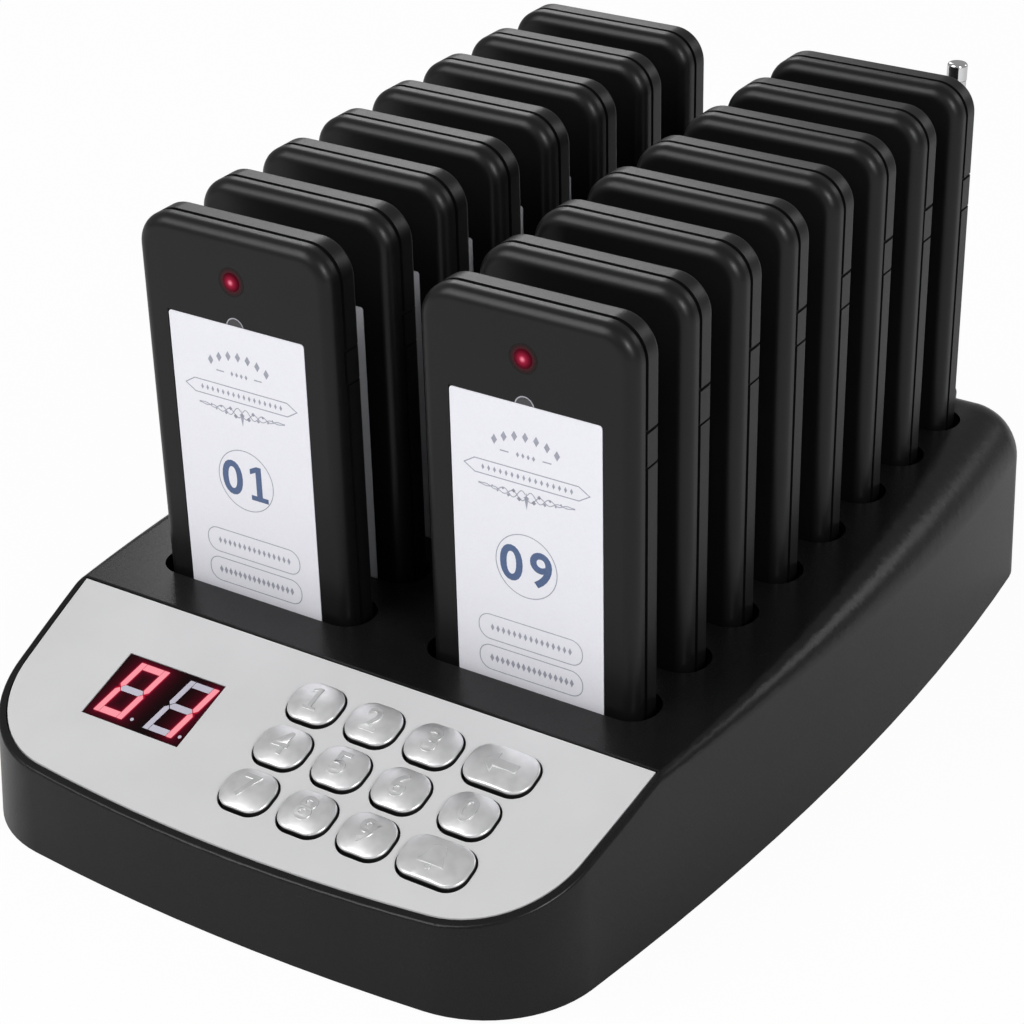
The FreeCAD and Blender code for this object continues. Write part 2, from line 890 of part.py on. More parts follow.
def power_switch():
    """The rocker, a dished bar on two pivots, standing in its on position."""
    face = wall_face_y(inlet_height)
    crest = rocker_pivot_depth - rocker_recess
    half = rocker_length / 2
    outline = [
        (crest, half),
        (crest - rocker_dish, 0),
        (crest, -half),
        (-rocker_root, -rocker_heel),
        (-rocker_root, rocker_heel),
    ]
    points = [Vector(-rocker_width / 2, y, z) for y, z in outline]
    profile = Part.Face(Part.makePolygon(points + points[:1]))
    rocker = profile.extrude(Vector(rocker_width, 0, 0))
    inner = rocker_width / 2 - pivot_length - touch_gap
    outer = rocker_width / 2 + overrun
    sockets = [
        bar_along_x(pivot_radius + pivot_clearance, start, end)
        for start, end in ((inner, outer), (-outer, -inner))
    ]
    rocker = rocker.cut(Part.makeCompound(sockets))
    pivot = Vector(switch_x, face - rocker_pivot_depth, inlet_height)
    return placed(rocker, Placement(pivot, Rotation(X_AXIS, rocker_tilt)))


def hinge_height():
    """The height of the antenna's tilt pin."""
    return antenna_seat_height + touch_gap + swivel_height + fork_height / 2


def antenna_swivel():
    """The turning foot of the antenna, with its shank, keeper, fork and hinge pin."""
    low = antenna_seat_height + touch_gap
    top = low + swivel_height
    boss_low = antenna_seat_height - turret_depth
    keeper_top = boss_low - touch_gap
    keeper_low = keeper_top - shank_keeper_height
    hinge = hinge_height() - top
    collar = rod(swivel_radius, low, top)
    shank = rod(shank_radius, keeper_top, low)
    keeper = rod(shank_keeper_radius, keeper_low, keeper_top)
    half = fork_width / 2
    cheek = box(-half, half, -half, half, top, top + hinge)
    head = bar_along_x(half, -half, half, 0, top + hinge)
    gap = fork_gap / 2
    space = box(-gap, gap, -fork_width, fork_width, top, top + hinge + fork_width)
    fork = cheek.fuse(head).cut(space)
    pin = bar_along_x(hinge_pin_radius, -half, half, 0, top + hinge)
    swivel = collar.multiFuse([shank, keeper, fork, pin]).removeSplitter()
    return placed(swivel, antenna_frame)


def mast_foot():
    """The height where the tube of the mast starts."""
    return hinge_height() + fork_width / 2 + touch_gap * 2


def antenna_mast():
    """The outer tube of the antenna, on a flat tang that turns on the hinge pin."""
    low = mast_foot()
    high = low + mast_length
    hinge = hinge_height()
    tube = rod(mast_radius, low, high)
    bore = rod(mast_radius - mast_wall, high - tip_rod_length - touch_gap, high + overrun)
    half = tang_width / 2
    reach = fork_width / 2 - touch_gap * 2
    head = bar_along_x(reach, -half, half, 0, hinge)
    neck = box(-half, half, -reach, reach, hinge, low)
    hole = bar_along_x(hinge_pin_radius + hinge_pin_clearance, -tang_width, tang_width, 0, hinge)
    mast = tube.cut(bore).multiFuse([head, neck]).cut(hole).removeSplitter()
    return placed(mast, antenna_frame)


def antenna_tip():
    """The inner rod of the antenna, drawn out by its cap."""
    top = mast_foot() + mast_length
    seat = top + touch_gap
    rod_radius = mast_radius - mast_wall - tip_clearance
    inner = rod(rod_radius, top - tip_rod_length, seat)
    cap = rod(tip_cap_radius, seat, seat + tip_cap_height)
    crown = [edge for edge in cap.Edges if edge.Closed and edge.BoundBox.ZMin > seat]
    cap = cap.makeFillet(tip_cap_edge, crown)
    return placed(inner.fuse(cap).removeSplitter(), antenna_frame)


def pager_outline(inset, y0, y1):
    """The pager's face outline, drawn inwards by the inset, between two depths."""
    block = upright_block(
        pager_width - 2 * inset, pager_height - 2 * inset, y0, y1, pager_corner_radius - inset
    )
    return placed(block, Placement(Vector(0, 0, inset), Rotation()))


def edges_at_depth(shape, y):
    """The edges of a shape that lie in one upright plane."""
    return [
        edge
        for edge in shape.Edges
        if max(abs(vertex.Y - y) for vertex in edge.Vertexes) < match_gap
    ]


def pager_front_shell():
    """The front half of a pager, with its broad shoulder, label recess and light hole."""
    shell = pager_outline(0, 0, front_shell_depth)
    shell = shell.makeFillet(pager_shoulder_radius, edges_at_depth(shell, 0))
    shell = shell.cut(pager_outline(pager_wall, pager_wall, front_shell_depth + overrun))
    half = label_width / 2
    recess = box(-half, half, -overrun, label_recess_depth, label_bottom, label_top)
    notch_height = label_top - label_notch_drop
    notch = bar_along_y(label_notch_radius, -overrun, label_recess_depth, 0, notch_height)
    light = bar_along_y(light_bore_radius, -overrun, front_shell_depth, 0, light_height)
    return shell.cut(Part.makeCompound([recess.fuse(notch), light]))


def pager_back_shell():
    """The back half of a pager, with the land of the parting groove and the side tab."""
    start = front_shell_depth + parting_width
    shell = pager_outline(0, start, pager_thickness)
    shell = shell.makeFillet(pager_back_radius, edges_at_depth(shell, pager_thickness))
    shell = shell.fuse(pager_outline(parting_depth, front_shell_depth, start))
    shell = shell.cut(pager_outline(pager_wall, -overrun, pager_thickness - pager_wall))
    side = pager_width / 2
    back = pager_thickness - pager_back_radius
    front = start - tab_reach
    tab = box(side - tab_margin, side + tab_rise, front, back, tab_low, tab_high)
    inner = side - tab_groove_depth
    groove = box(inner, side + overrun, -overrun, pager_thickness + overrun, 0, tab_groove_width)
    grooves = [
        placed(groove, Placement(Vector(0, 0, low), Rotation()))
        for low in (tab_low - tab_groove_width, tab_high)
    ]
    return shell.fuse(tab).cut(Part.makeCompound(grooves)).removeSplitter()


def write(name, shape):
    """One file for one named piece, with a line that says what is in it."""
    solids = shape.Solids
    shape = solids[0] if len(solids) == 1 else Part.makeCompound(solids)
    assert shape.isValid(), name
    shape.exportStep("parts/" + name + ".step")
    print(name, len(solids), "solids", round(shape.Volume / 1000, 2), "cm3")


write("top_housing", top_housing())
write("bottom_cover", bottom_cover())
write("control_panel", control_panel())
write("display_window", display_window())
write("display_module", display_module())
write("keypad_sheet", keypad_sheet())
write("main_board", main_board())
write("charge_boards", charge_boards())
write("charge_contacts", charge_contacts())
write("rubber_feet", rubber_feet())
write("case_screws", case_screws())
write("power_inlet", power_inlet())
write("power_switch", power_switch())
write("antenna_swivel", antenna_swivel())
write("antenna_mast", antenna_mast())
write("antenna_tip", antenna_tip())

caps = {width: key_cap(width) for width in (key_width, wide_key_width)}
for name, width, x, down in key_places():
    write("key_" + name, on_panel(caps[width], x, down))

shells = {"front_shell": pager_front_shell(), "back_shell": pager_back_shell()}
for number, frame in slot_places():
    foot = frame.multiply(Placement(Vector(0, 0, -slot_depth), Rotation()))
    for part_name, shell in shells.items():
        write("pager_%02d_%s" % (number, part_name), placed(shell, foot))
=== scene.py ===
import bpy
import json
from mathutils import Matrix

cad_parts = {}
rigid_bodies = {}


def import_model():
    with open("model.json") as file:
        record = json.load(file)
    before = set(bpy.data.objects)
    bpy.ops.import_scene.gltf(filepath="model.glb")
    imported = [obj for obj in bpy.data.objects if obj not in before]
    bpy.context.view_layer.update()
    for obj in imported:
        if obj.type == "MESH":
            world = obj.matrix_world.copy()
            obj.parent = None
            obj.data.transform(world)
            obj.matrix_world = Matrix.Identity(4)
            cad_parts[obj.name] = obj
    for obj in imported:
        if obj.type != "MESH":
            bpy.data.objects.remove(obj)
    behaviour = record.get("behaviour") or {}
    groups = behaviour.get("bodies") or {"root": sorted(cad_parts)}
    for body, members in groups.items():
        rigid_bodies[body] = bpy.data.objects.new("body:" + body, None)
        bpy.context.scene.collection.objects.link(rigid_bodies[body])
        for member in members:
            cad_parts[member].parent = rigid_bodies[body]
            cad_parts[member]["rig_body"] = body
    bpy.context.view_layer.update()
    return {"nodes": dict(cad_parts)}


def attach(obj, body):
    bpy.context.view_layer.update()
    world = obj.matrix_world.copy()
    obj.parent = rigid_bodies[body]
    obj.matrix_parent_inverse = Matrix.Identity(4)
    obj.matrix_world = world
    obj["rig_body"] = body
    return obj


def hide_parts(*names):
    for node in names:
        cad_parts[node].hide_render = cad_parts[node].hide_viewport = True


bl_info = {
    "name": "Guest pager base",
    "version": (1, 0, 0),
    "blender": (4, 5, 0),
    "location": "3D View > Sidebar > Pagers",
    "description": "Dresses a keypad base and the sixteen pagers that stand in its charging slots",
    "category": "Object",
}

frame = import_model()

import json
import math

import bpy
import numpy as np
from bpy.props import FloatProperty, FloatVectorProperty, IntProperty, PointerProperty
from mathutils import Matrix, Vector

MM = 0.001

# The two sloped planes of the base, as the CAD has them
DECK = Matrix.Translation(Vector((0, -60.85, 42.0)) * MM) @ Matrix.Rotation(math.radians(2.3), 4, "X")
PANEL = Matrix.Translation(Vector((0, -74.35, 41.4583)) * MM) @ Matrix.Rotation(math.radians(19.7), 4, "X")

# Where the pagers stand in the deck, and the top of a key's dome over the panel, in millimetres
COLUMN_PITCH = 77.1
ROW_PITCH = 22.66
ROWS = 8
SEAT_DEPTH = 13.5
KEY_RISE = 1.8
KEY_DROP = 0.8

# Heights over a pager's foot, in millimetres
LIGHT_HEIGHT = 95.0
RING_HEIGHT = 44.3
ORNAMENT_HEIGHT = 61.8
RIBBON_HEIGHT = 66.4
ARCH_CENTRE = 61.6

# Each key's place across and down the panel, its width, and its mark
KEYS = {
    "key_1": (-1.76, 13.39, 12.8, "1"), "key_2": (14.18, 13.39, 12.8, "2"),
    "key_3": (30.12, 13.39, 12.8, "3"), "key_delete": (47.83, 13.39, 17.1, "back"),
    "key_4": (-1.76, 26.88, 12.8, "4"), "key_5": (14.18, 26.88, 12.8, "5"),
    "key_6": (30.12, 26.88, 12.8, "6"), "key_0": (47.83, 26.88, 12.8, "0"),
    "key_7": (-1.76, 40.37, 12.8, "7"), "key_8": (14.18, 40.37, 12.8, "8"),
    "key_9": (30.12, 40.37, 12.8, "9"), "key_call": (47.83, 40.37, 17.1, "bell"),
}


# Shapes, each a pair of arrays: points in millimetres and faces

def rounded_outline(width, height, radius, steps=8):
    """A rounded rectangle about the origin. Corner k has its centre at the rectangle's
    corner less the radius, and its points lie at the radius over the k-th quarter turn."""
    quarter = np.linspace(0, math.pi / 2, steps)
    turn = (np.arange(4)[:, None] * math.pi / 2 + quarter).ravel()
    side = np.repeat(np.array([[1, 1], [-1, 1], [-1, -1], [1, -1]]), steps, axis=0)
    centre = side * np.array([width / 2 - radius, height / 2 - radius])
    return centre + radius * np.column_stack([np.cos(turn), np.sin(turn)])


def round_outline(radius, steps=48):
    """A circle about the origin: radius times cosine and sine of equal steps of a turn."""
    turn = np.linspace(0, 2 * math.pi, steps, endpoint=False)
    return radius * np.column_stack([np.cos(turn), np.sin(turn)])


def prism(outline, low, high):
    """The outline stood between two heights: the wall is outline by height, closed with two flat ends."""
    n = len(outline)
    points = np.vstack([np.column_stack([outline, np.full(n, z)]) for z in (low, high)])
    i = np.arange(n)
    j = (i + 1) % n
    wall = np.column_stack([i, j, j + n, i + n]).tolist()
    return points, wall + [i[::-1].tolist(), (i + n).tolist()]


def band(outline, width, low, high):
    """A line of even width along a closed outline: each point is drawn in along the mean of the
    normals of its two sides, and four rings (outer low and high, inner high and low) are joined."""
    side = np.roll(outline, -1, axis=0) - outline
    normal = np.column_stack([-side[:, 1], side[:, 0]])
    normal /= np.linalg.norm(normal, axis=1)[:, None]
    mean = normal + np.roll(normal, 1, axis=0)
    inner = outline + width * mean / np.maximum((mean * normal).sum(axis=1), 0.3)[:, None]
    n = len(outline)
    rings = [(outline, low), (outline, high), (inner, high), (inner, low)]
    points = np.vstack([np.column_stack([ring, np.full(n, z)]) for ring, z in rings])
    i = np.arange(n)
    j = (i + 1) % n
    sides = ((0, 1), (1, 2), (2, 3), (3, 0))
    faces = [np.column_stack([i + a * n, j + a * n, j + b * n, i + b * n]) for a, b in sides]
    return points, np.vstack(faces).tolist()


def turned(profile, steps=40):
    """A profile of radius and height turned about the Z axis. Its first and last points are on it."""
    turn = np.linspace(0, 2 * math.pi, steps, endpoint=False)
    body = profile[1:-1]
    r, z = body[:, :1], body[:, 1:]
    rings = np.stack([r * np.cos(turn), r * np.sin(turn), z + 0 * turn], axis=-1).reshape(-1, 3)
    points = np.vstack([rings, [[0, 0, profile[0, 1]], [0, 0, profile[-1, 1]]]])
    m = len(body)
    i = np.arange(steps)
    j = (i + 1) % steps
    row = np.arange(m - 1)[:, None] * steps
    quads = np.stack([row + i, row + j, row + steps + j, row + steps + i], axis=-1).reshape(-1, 4)
    first, last = m * steps, m * steps + 1
    ends = np.vstack([
        np.column_stack([np.full(steps, first), j, i]),
        np.column_stack([np.full(steps, last), i + (m - 1) * steps, j + (m - 1) * steps]),
    ])
    return points, quads.tolist() + ends.tolist()


def lettering(text, height, depth, weight=0.0):
    """A number as a raised solid about the origin, from Blender's own font, scaled to the height
    asked. The weight draws its outline outwards, as a share of the font's size."""
    curve = bpy.data.curves.new("number", "FONT")
    curve.body = text
    curve.align_x = "CENTER"
    curve.size = 1.0
    curve.resolution_u = 5
    curve.extrude = 0.5
    curve.offset = weight
    holder = bpy.data.objects.new("number", curve)
    mesh = bpy.data.meshes.new_from_object(holder)
    points = np.zeros(len(mesh.vertices) * 3)
    mesh.vertices.foreach_get("co", points)
    points = points.reshape(-1, 3)
    faces = [list(face.vertices) for face in mesh.polygons]
    bpy.data.objects.remove(holder)
    bpy.data.curves.remove(curve)
    bpy.data.meshes.remove(mesh)
    low, high = points.min(axis=0), points.max(axis=0)
    points[:, :2] = (points[:, :2] - (low[:2] + high[:2]) / 2) * height / (high[1] - low[1])
    points[:, 2] = (points[:, 2] - low[2]) / (high[2] - low[2]) * depth
    return points, faces


def figure_one(height, depth):
    """The figure 1 with a flag and a foot, which the built-in font draws as a bare stroke."""
    outline = np.array([[-0.27, 0], [0.27, 0], [0.27, 0.14], [0.09, 0.14], [0.09, 1], [-0.06, 1],
                        [-0.27, 0.89], [-0.27, 0.74], [-0.09, 0.83], [-0.09, 0.14], [-0.27, 0.14]])
    return prism((outline - np.array([0, 0.5])) * height, 0, depth)


def two_figures(number, height, spacing):
    """A number of two figures, each centred on its own place."""
    shapes = []
    for side, figure in zip((-0.5, 0.5), "%02d" % number):
        shape = figure_one(height, 1.0) if figure == "1" else lettering(figure, height, 1.0, 0.02)
        shapes.append(moved(shape, side * spacing))
    return joined(shapes)


def moved(shape, x=0.0, y=0.0, z=0.0):
    """The same shape, shifted."""
    return shape[0] + np.array([x, y, z]), shape[1]


def joined(shapes):
    """Several shapes as one, with their faces renumbered."""
    points, faces, start = [], [], 0
    for some, sides in shapes:
        points.append(some)
        faces += [[v + start for v in side] for side in sides]
        start += len(some)
    return np.vstack(points), faces


def upright(shape):
    """Turned so that its own Z faces the front: x stays, y becomes height, and z becomes minus depth."""
    return shape[0][:, [0, 2, 1]] * np.array([1, -1, 1]), shape[1]


def piece(name, shape, place, body, material, smooth=False):
    """A mesh object made of a shape, put in its place in the frame, riding on a body."""
    points = np.column_stack([shape[0] * MM, np.ones(len(shape[0]))]) @ np.array(place).T
    mesh = bpy.data.meshes.new(name)
    mesh.from_pydata(points[:, :3].tolist(), [], shape[1])
    mesh.validate()
    if smooth:
        mesh.shade_smooth()
        mesh.set_sharp_from_angle(angle=math.radians(35))
    mesh.materials.append(material)
    obj = bpy.data.objects.new(name, mesh)
    bpy.context.scene.collection.objects.link(obj)
    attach(obj, body)
    return obj


def smoothed(node, material):
    """The CAD node with its triangles merged and its curved faces shaded as curves."""
    source = frame["nodes"][node]
    count = len(source.data.vertices)
    points = np.zeros(count * 3)
    source.data.vertices.foreach_get("co", points)
    tidy = np.round(points.reshape(-1, 3), 7)
    corners_once, back = np.unique(tidy, axis=0, return_inverse=True)
    back = back.ravel()
    corners = np.zeros(len(source.data.loops), dtype=int)
    source.data.loops.foreach_get("vertex_index", corners)
    triangles = back[corners].reshape(-1, 3)
    a, b, c = triangles.T
    triangles = triangles[(a != b) & (b != c) & (c != a)]
    mesh = bpy.data.meshes.new(node + "_finished")
    mesh.from_pydata(corners_once.tolist(), [], triangles.tolist())
    mesh.validate()
    mesh.shade_smooth()
    mesh.set_sharp_from_angle(angle=math.radians(32))
    mesh.materials.append(material)
    obj = bpy.data.objects.new(node + "_finished", mesh)
    bpy.context.scene.collection.objects.link(obj)
    even = obj.modifiers.new("even_shading", "WEIGHTED_NORMAL")
    even.keep_sharp = True
    even.weight = 60
    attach(obj, body_of(node))
    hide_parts(node)
    return obj


def body_of(node):
    """The body that carries a node."""
    return frame["nodes"][node]["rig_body"]


def finish_node(node, material):
    """A CAD node that stays as it is, with its finish."""
    mesh = frame["nodes"][node].data
    mesh.materials.clear()
    mesh.materials.append(material)


# Finishes

def new_material(name):
    """A material with a shader, its tree, and a way to add and join nodes."""
    material = bpy.data.materials.new(name)
    material.use_nodes = True
    tree = material.node_tree
    shader = tree.nodes["Principled BSDF"]
    return material, tree, shader


def grained(tree, scale, detail=2.0, stretch=(1.0, 1.0, 1.0)):
    """A noise in real size: the scale is in grains per metre."""
    coordinates = tree.nodes.new("ShaderNodeTexCoord")
    mapping = tree.nodes.new("ShaderNodeMapping")
    mapping.inputs["Scale"].default_value = stretch
    noise = tree.nodes.new("ShaderNodeTexNoise")
    noise.inputs["Scale"].default_value = scale
    noise.inputs["Detail"].default_value = detail
    tree.links.new(coordinates.outputs["Object"], mapping.inputs["Vector"])
    tree.links.new(mapping.outputs["Vector"], noise.inputs["Vector"])
    return noise.outputs["Fac"]


def between(tree, fac, low, high):
    """A number that runs from low to high with the noise."""
    node = tree.nodes.new("ShaderNodeMapRange")
    node.inputs["From Min"].default_value = 0.3
    node.inputs["From Max"].default_value = 0.7
    node.inputs["To Min"].default_value = low
    node.inputs["To Max"].default_value = high
    tree.links.new(fac, node.inputs["Value"])
    return node.outputs["Result"]


def shaded(tree, fac, dark, light):
    """A colour that runs from dark to light with the noise."""
    ramp = tree.nodes.new("ShaderNodeValToRGB")
    ramp.color_ramp.elements[0].position = 0.3
    ramp.color_ramp.elements[0].color = (*dark, 1)
    ramp.color_ramp.elements[1].position = 0.7
    ramp.color_ramp.elements[1].color = (*light, 1)
    tree.links.new(fac, ramp.inputs["Fac"])
    return ramp.outputs["Color"]


def raised(tree, shader, fac, distance, strength=1.0):
    """The noise as a fine relief of the given depth in metres."""
    bump = tree.nodes.new("ShaderNodeBump")
    bump.inputs["Distance"].default_value = distance
    bump.inputs["Strength"].default_value = strength
    tree.links.new(fac, bump.inputs["Height"])
    tree.links.new(bump.outputs["Normal"], shader.inputs["Normal"])


def moulded(name, colour, rough, grain=4500.0, relief=0.000004, coat=0.0, metal=0.0, gloss=0.5, cloudy=0.1):
    """Moulded or painted plastic: cloudy in colour over centimetres, uneven in gloss, with a fine grain."""
    material, tree, shader = new_material(name)
    cloud = grained(tree, 60.0, 3.0)
    fine = grained(tree, grain, 2.0)
    dark = tuple(c * (1 - cloudy) for c in colour)
    light = tuple(min(1.0, c * (1 + cloudy)) for c in colour)
    shader.inputs["Specular IOR Level"].default_value = gloss
    tree.links.new(shaded(tree, cloud, dark, light), shader.inputs["Base Color"])
    tree.links.new(between(tree, fine, rough * 0.86, rough * 1.14), shader.inputs["Roughness"])
    if relief:
        raised(tree, shader, fine, relief)
    shader.inputs["Metallic"].default_value = metal
    shader.inputs["Coat Weight"].default_value = coat
    shader.inputs["Coat Roughness"].default_value = 0.12
    return material


def silver_with_painted_skirt_shade(name, colour, rough):
    """Silver on the domes of the keys, mottled over a millimetre, with painted shade on the skirt
    where a key goes down into the panel: the colour darkens to near black low over the panel,
    and the height over the panel is the place along its normal."""
    material, tree, shader = new_material(name)
    mottle = grained(tree, 450.0, 1.0)
    coordinates = tree.nodes.new("ShaderNodeTexCoord")
    along = tree.nodes.new("ShaderNodeVectorMath")
    along.operation = "DOT_PRODUCT"
    normal = PANEL.to_3x3() @ Vector((0, 0, 1))
    along.inputs[1].default_value = normal
    tree.links.new(coordinates.outputs["Object"], along.inputs[0])
    foot = normal.dot(PANEL.translation)
    # Painted shade: below 0.75 mm over the panel the colour falls to near black, on the skirt that stands
    # in the shaded gap round a key
    skirt = tree.nodes.new("ShaderNodeMapRange")
    skirt.inputs["From Min"].default_value = foot + 0.4 * MM
    skirt.inputs["From Max"].default_value = foot + 0.75 * MM
    skirt.inputs["To Min"].default_value = 0.06
    skirt.inputs["To Max"].default_value = 1.0
    tree.links.new(along.outputs["Value"], skirt.inputs["Value"])
    scaled = tree.nodes.new("ShaderNodeVectorMath")
    scaled.operation = "SCALE"
    tree.links.new(shaded(tree, mottle, tuple(c * 0.93 for c in colour), colour), scaled.inputs[0])
    tree.links.new(skirt.outputs["Result"], scaled.inputs["Scale"])
    tree.links.new(scaled.outputs["Vector"], shader.inputs["Base Color"])
    tree.links.new(between(tree, mottle, rough * 0.93, rough * 1.07), shader.inputs["Roughness"])
    shader.inputs["Metallic"].default_value = 0.8
    return material


def brushed(name, colour, rough, along=(1.0, 30.0, 30.0), relief=0.000002):
    """Metal with fine marks drawn out along one axis."""
    material, tree, shader = new_material(name)
    marks = grained(tree, 900.0, 4.0, along)
    cloud = grained(tree, 120.0, 2.0)
    dark = tuple(c * 0.94 for c in colour)
    tree.links.new(shaded(tree, cloud, dark, colour), shader.inputs["Base Color"])
    tree.links.new(between(tree, marks, rough * 0.8, rough * 1.2), shader.inputs["Roughness"])
    raised(tree, shader, marks, relief)
    shader.inputs["Metallic"].default_value = 1.0
    return material


def paper(name, colour, ink=False):
    """Printed card under a clear cover: fibres in the colour, and a thin gloss over it."""
    material, tree, shader = new_material(name)
    fibre = grained(tree, 1800.0, 5.0)
    dark = tuple(c * (0.8 if ink else 0.965) for c in colour)
    tree.links.new(shaded(tree, fibre, dark, colour), shader.inputs["Base Color"])
    tree.links.new(between(tree, fibre, 0.5, 0.62), shader.inputs["Roughness"])
    shader.inputs["Coat Weight"].default_value = 0.35
    shader.inputs["Coat Roughness"].default_value = 0.08
    return material


def circuit_board(name, colour):
    """Green solder resist, with copper runs showing through as lighter lines."""
    material, tree, shader = new_material(name)
    coordinates = tree.nodes.new("ShaderNodeTexCoord")
    runs = tree.nodes.new("ShaderNodeTexBrick")
    runs.inputs["Scale"].default_value = 90.0
    runs.inputs["Color1"].default_value = (*colour, 1)
    runs.inputs["Color2"].default_value = (*tuple(c * 0.85 for c in colour), 1)
    runs.inputs["Mortar"].default_value = (*tuple(min(1, c * 1.8) for c in colour), 1)
    tree.links.new(coordinates.outputs["Object"], runs.inputs["Vector"])
    tree.links.new(runs.outputs["Color"], shader.inputs["Base Color"])
    fine = grained(tree, 1500.0)
    tree.links.new(between(tree, fine, 0.3, 0.42), shader.inputs["Roughness"])
    return material


def lit(name, core, middle, rim, base=(0.002, 0.001, 0.001), gloss=0.06):
    """A light that is hottest at its core: the attribute warmth runs from 0 at the rim to 1 at the core."""
    material, tree, shader = new_material(name)
    warmth = tree.nodes.new("ShaderNodeAttribute")
    warmth.attribute_name = "warmth"
    ramp = tree.nodes.new("ShaderNodeValToRGB")
    ramp.color_ramp.elements[0].position = 0.0
    ramp.color_ramp.elements[0].color = (*rim, 1)
    ramp.color_ramp.elements[1].position = 1.0
    ramp.color_ramp.elements[1].color = (*core, 1)
    ramp.color_ramp.elements.new(0.5).color = (*middle, 1)
    tree.links.new(warmth.outputs["Fac"], ramp.inputs["Fac"])
    tree.links.new(ramp.outputs["Color"], shader.inputs["Emission Color"])
    shader.inputs["Emission Strength"].default_value = 1.0
    shader.inputs["Base Color"].default_value = (*base, 1)
    shader.inputs["Specular IOR Level"].default_value = gloss
    fine = grained(tree, 2500.0)
    tree.links.new(between(tree, fine, 0.24, 0.34), shader.inputs["Roughness"])
    return material


def set_warmth(obj, values):
    """The attribute warmth of a piece, one value for each point."""
    attribute = obj.data.attributes.new("warmth", "FLOAT", "POINT")
    attribute.data.foreach_set("value", np.asarray(values, dtype=np.float32))


MATERIALS = {}


def finish(name):
    """The finish of that name, made on its first use from the colours in the settings."""
    if name not in MATERIALS:
        look = bpy.context.scene.pager_finish
        makers = {
            "case": lambda: moulded("case_black", tuple(look.case_colour), look.case_roughness,
                                    3800.0, 0.000003, gloss=look.case_gloss),
            "pager": lambda: moulded("pager_black", tuple(look.pager_colour), look.pager_roughness,
                                     4200.0, 0.0000015, gloss=look.pager_gloss),
            "plate": lambda: moulded("plate_silver", tuple(look.plate_colour), 0.42,
                                     5200.0, 0.000004, gloss=0.4, cloudy=0.02),
            "key": lambda: silver_with_painted_skirt_shade("key_silver", tuple(look.key_colour), 0.32),
            "legend": lambda: silver_with_painted_skirt_shade("key_legend", tuple(c * 0.78 for c in look.key_colour), 0.42),
            "rubber": lambda: moulded("foot_rubber", (0.02, 0.02, 0.021), 0.75, 2500.0, 0.00002),
            "sheet": lambda: moulded("sheet_grey", (0.3, 0.31, 0.31), 0.6, 2500.0, 0.00001),
            "screw": lambda: brushed("screw_black", (0.09, 0.09, 0.095), 0.35),
            "gold": lambda: brushed("contact_gold", (0.83, 0.62, 0.28), 0.22),
            "chrome": lambda: brushed("antenna_chrome", (0.8, 0.8, 0.81), 0.1, (30.0, 30.0, 1.0)),
            "inlet": lambda: moulded("inlet_black", (0.012, 0.012, 0.013), 0.4, gloss=0.3),
            "rocker": lambda: moulded("rocker_black", (0.01, 0.01, 0.011), 0.22, coat=0.3),
            "display": lambda: moulded("display_black", (0.002, 0.0015, 0.002), 0.25,
                                       3000.0, 0.0000005, gloss=0.06),
            "block": lambda: moulded("display_block", (0.5, 0.5, 0.48), 0.5, cloudy=0.03),
            "board": lambda: circuit_board("board_green", (0.02, 0.14, 0.06)),
            "card": lambda: paper("label_card", tuple(look.card_colour)),
            "tongue": lambda: moulded("label_tongue", (0.03, 0.028, 0.033), 0.2, coat=0.5, cloudy=0.05),
            # Painted highlight: the lighter band along the rim of the tongue
            "tongue_rim_painted_highlight": lambda: moulded("label_tongue_rim_painted_highlight", (0.42, 0.41, 0.46), 0.2,
                                          coat=0.5, cloudy=0.05),
            "ink": lambda: paper("label_ink", tuple(look.ink_colour), ink=True),
            "fine_ink": lambda: paper("label_fine_ink", (0.4, 0.41, 0.49), ink=True),
            "dull": lambda: moulded("segment_unlit", (0.5, 0.48, 0.56), 0.4, 3000.0,
                                    cloudy=0.03, gloss=0.2),
            "segment": lambda: lit("segment_lit", (0.97, 0.32, 0.38), (1.0, 0.16, 0.2), (0.8, 0.04, 0.08)),
            "halo": lambda: lit("display_halo", (0.55, 0.012, 0.04), (0.075, 0.0, 0.008),
                                (0.0005, 0.0003, 0.0006)),
            "lamp": lambda: lit("light_red", (1.0, 0.28, 0.38), (0.34, 0.014, 0.045),
                                (0.06, 0.0, 0.006), gloss=0.03),
            "glow": lambda: lit("light_glow", (0.05, 0.0, 0.004), (0.018, 0.0, 0.001),
                                (0.0, 0.0, 0.0), tuple(look.pager_colour), look.pager_gloss * 0.6),
        }
        MATERIALS[name] = makers[name]()
    return MATERIALS[name]


